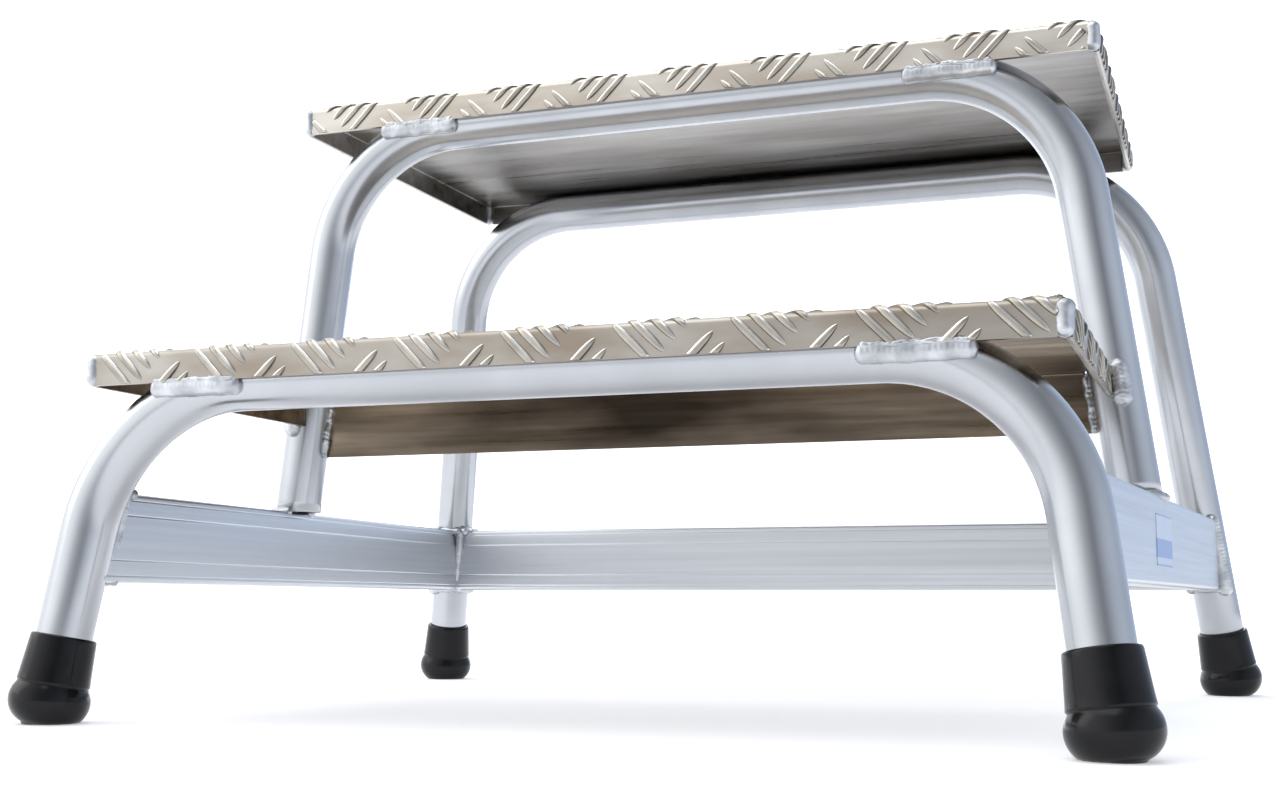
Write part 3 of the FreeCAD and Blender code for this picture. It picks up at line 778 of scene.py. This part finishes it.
AXIS_GAP = 0.05         # radius of the smallest rings, which close the sole and the bore
FOOT_SIDES = 64
SOLE = -3.4             # the sole on the leg's axis, before the floor flattens it
SOLE_RINGS = (4.0, 7.0, 10.0)           # radii of the shallow rings under the sole
RING_OUTLINE = ((-0.8, -0.5), (0.0, -0.6), (0.4, -0.1), (1.0, 0.0))
BULB_STEPS = 16
BULB_START, BULB_TURN = -78, 112        # degrees
BULB_MIDDLE, BULB_SIZE = (8.0, 12.4), (13.4, 13.6)
WAIST = ((18.95, 20.3), (18.75, 20.7), (18.75, 21.2), (19.1, 21.5), (19.3, 22.0), (19.2, 22.6))
NECK_STEPS = 7
NECK_RADIUS, NECK_TAPER = 19.1, 1.65
NECK_START, NECK_LENGTH = 22.8, 22.6
BORE = 15.05
COLLAR = ((17.3, 46.2), (16.9, 46.8), (16.2, FERRULE_HEIGHT), (15.1, FERRULE_HEIGHT), (BORE, 46.6))


def foot_profile():
    """Outline of the rubber foot as (radius, height along the leg), from its sole to its bore."""
    points = [(AXIS_GAP, SOLE)]
    for radius in SOLE_RINGS:
        points += [(radius + out, SOLE + down) for out, down in RING_OUTLINE]
    for i in range(1, BULB_STEPS + 1):
        turn = math.radians(BULB_START + BULB_TURN * i / BULB_STEPS)
        points.append((BULB_MIDDLE[0] + BULB_SIZE[0] * math.cos(turn),
                       BULB_MIDDLE[1] + BULB_SIZE[1] * math.sin(turn)))
    points += WAIST
    for i in range(1, NECK_STEPS + 1):
        points.append((NECK_RADIUS - NECK_TAPER * i / NECK_STEPS,
                       NECK_START + NECK_LENGTH * i / NECK_STEPS))
    points += COLLAR
    points += [(BORE, FERRULE_FLOOR), (AXIS_GAP, FERRULE_FLOOR)]
    return points


def foot_piece(node, hoop, side):
    """Moulded foot turned round the leg's axis, its sole flattened by the floor."""
    up = leg_direction(hoop, side)
    right = Vector((0, 1, 0)).cross(up).normalized()
    ahead = up.cross(right)
    base = leg_axis(hoop, side, 0.0)
    bm = bmesh.new()
    rings = []
    for radius, height in foot_profile():
        ring = circle(base + up * height, right, ahead, radius, FOOT_SIDES)
        for point in ring:
            point.z = max(point.z, 0.0)
        rings.append(ring)
    loft(bm, rings, caps=True)
    finish_piece(node + "_look", bm, [RUBBER], [node])


for end, hoop in (("front", FRONT), ("rear", REAR)):
    for label, side in SIDES.items():
        foot_piece("foot_%s_%s" % (end, label), hoop, side)
        paint(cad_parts["foot_disc_%s_%s" % (end, label)], STEEL)

for label in (*SIDES, "rear"):
    paint(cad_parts["rail_" + label], RAIL)
paint(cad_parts["blank_label"], LABEL)


# ---------------------------------------------------------------- stage, light, camera

FLOOR_SIZE = 9.0
WALL_Y, WALL_RIGHT = 5.0, 0.6
WALL_HEIGHT = 7.0
STUDIO_ROUGH = 0.9
STUDIO_CLOUDS = 0.985                   # the darker parts of its surfaces, as a share of the colour
FRONT_SHADE = (0.74, 0.75, 0.77)        # the floor fades to a slightly darker grey at the front
LIGHT_TARGET = Vector((0, 0, 0.2))


def stage_piece(name, corners, colour, glow, fades=None):
    """Part of the studio: a plain four-cornered surface that isn't part of the block.

    It glows a little, so that it is evenly white. With fades, which is (near, far), it doesn't
    glow and is darker in front of Y near, and has its full glow and colour behind Y far.
    """
    mesh = bpy.data.meshes.new(name)
    mesh.from_pydata(corners, [], [(0, 1, 2, 3)])
    obj = bpy.data.objects.new(name, mesh)
    SCENE.collection.objects.link(obj)
    material, node = shader(name, colour, metallic=0.0, roughness=STUDIO_ROUGH)
    shade = tinted(material, grain(material, EVEN, scale=3.0),
                   tuple(c * STUDIO_CLOUDS for c in colour), colour)
    node.inputs["Emission Color"].default_value = (1, 1, 1, 1)
    node.inputs["Emission Strength"].default_value = glow
    if fades is not None:
        back = axes(material)["Y"]
        feed(material, spread(material, back, 0.0, glow, *fades), node.inputs["Emission Strength"])
        fade = tinted(material, spread(material, back, 0.0, 1.0, *fades), FRONT_SHADE, WHITE, 0.0, 1.0)
        shade = mixed(material, 1.0, shade, fade, "MULTIPLY")
    feed(material, shade, node.inputs["Base Color"])
    mesh.materials.append(material)


def area_light(name, place, size, power, colour):
    """Rectangular light that looks at the block."""
    lamp = bpy.data.lights.new(name, "AREA")
    lamp.shape = "RECTANGLE"
    lamp.size, lamp.size_y = size
    lamp.energy = power
    lamp.color = colour
    obj = bpy.data.objects.new(name, lamp)
    SCENE.collection.objects.link(obj)
    obj.location = place
    obj.rotation_mode = "QUATERNION"
    obj.rotation_quaternion = (LIGHT_TARGET - Vector(place)).to_track_quat("-Z", "Y")


stage_piece("studio_floor",
            [(-FLOOR_SIZE, -FLOOR_SIZE, 0), (FLOOR_SIZE, -FLOOR_SIZE, 0),
             (FLOOR_SIZE, WALL_Y, 0), (-FLOOR_SIZE, WALL_Y, 0)],
            colour=(0.82, 0.82, 0.83), glow=0.38, fades=(-3.6, -1.1))
stage_piece("studio_wall",
            [(-FLOOR_SIZE, WALL_Y, 0), (WALL_RIGHT, WALL_Y, 0),
             (WALL_RIGHT, WALL_Y, WALL_HEIGHT), (-FLOOR_SIZE, WALL_Y, WALL_HEIGHT)],
            colour=(0.96, 0.96, 0.97), glow=0.95)

area_light("key", (-3.0, -0.9, 1.9), size=(2.0, 2.4), power=15.0, colour=(1.0, 0.99, 0.97))
area_light("top", (-0.3, -0.6, 2.8), size=(2.6, 2.0), power=24.0, colour=WHITE)

WORLD_STRENGTH = 1.75
WORLD_ACROSS = ((0.0, (0.82, 0.83, 0.85)), (0.08, (0.98, 0.99, 1.0)), (0.20, (0.90, 0.91, 0.93)),
                (0.35, (0.66, 0.67, 0.69)), (0.50, (0.39, 0.40, 0.42)), (0.62, (0.27, 0.28, 0.30)),
                (0.75, (0.16, 0.17, 0.19)), (0.875, (0.32, 0.34, 0.38)), (1.0, (0.45, 0.50, 0.58)))
WORLD_BEHIND = (0.37, 0.44, 0.56, 1.0)
BEHIND_FROM, BEHIND_TO = 0.25, 0.80     # Y of the direction, where it begins and where it's full


def studio_world():
    """Soft surroundings: bright on the left, dim on the right of the middle, bluish behind."""
    world = bpy.data.worlds.new("studio")
    SCENE.world = world
    world.use_nodes = True
    background = world.node_tree.nodes["Background"]
    background.inputs["Strength"].default_value = WORLD_STRENGTH
    direction = axes(world, "Generated")
    across = ramp(world, spread(world, direction["X"], 0.0, 1.0, start=-1.0, end=1.0), WORLD_ACROSS)
    behind = spread(world, direction["Y"], 0.0, 1.0, start=BEHIND_FROM, end=BEHIND_TO)
    feed(world, mixed(world, behind, across, WORLD_BEHIND), background.inputs["Color"])


studio_world()
SCENE.view_settings.view_transform = "Standard"

CAMERA_PLACE = Vector((0.3303, -1.0001, 0.0655))
CAMERA_YAW, CAMERA_PITCH, CAMERA_ROLL = -0.3547, 0.126, 0.0032      # radians
SENSOR_WIDTH, FOCAL_LENGTH = 36.0, 46.01                            # millimetres
LENS_SHIFT = (0.0014, 0.0010)
CLIP = (0.02, 60.0)
forward = Vector((math.sin(CAMERA_YAW) * math.cos(CAMERA_PITCH),
                  math.cos(CAMERA_YAW) * math.cos(CAMERA_PITCH), math.sin(CAMERA_PITCH)))
right = forward.cross(Vector((0, 0, 1))).normalized()
upwards = right.cross(forward)
turned_right = right * math.cos(CAMERA_ROLL) + upwards * math.sin(CAMERA_ROLL)
turned_up = upwards * math.cos(CAMERA_ROLL) - right * math.sin(CAMERA_ROLL)
lens = bpy.data.cameras.new("camera")
camera = bpy.data.objects.new("camera", lens)
SCENE.collection.objects.link(camera)
camera.matrix_world = Matrix((
    (turned_right.x, turned_up.x, -forward.x, CAMERA_PLACE.x),
    (turned_right.y, turned_up.y, -forward.y, CAMERA_PLACE.y),
    (turned_right.z, turned_up.z, -forward.z, CAMERA_PLACE.z),
    (0, 0, 0, 1)))
lens.sensor_width = SENSOR_WIDTH
lens.lens = FOCAL_LENGTH
lens.shift_x, lens.shift_y = LENS_SHIFT
lens.clip_start, lens.clip_end = CLIP
SCENE.camera = camera
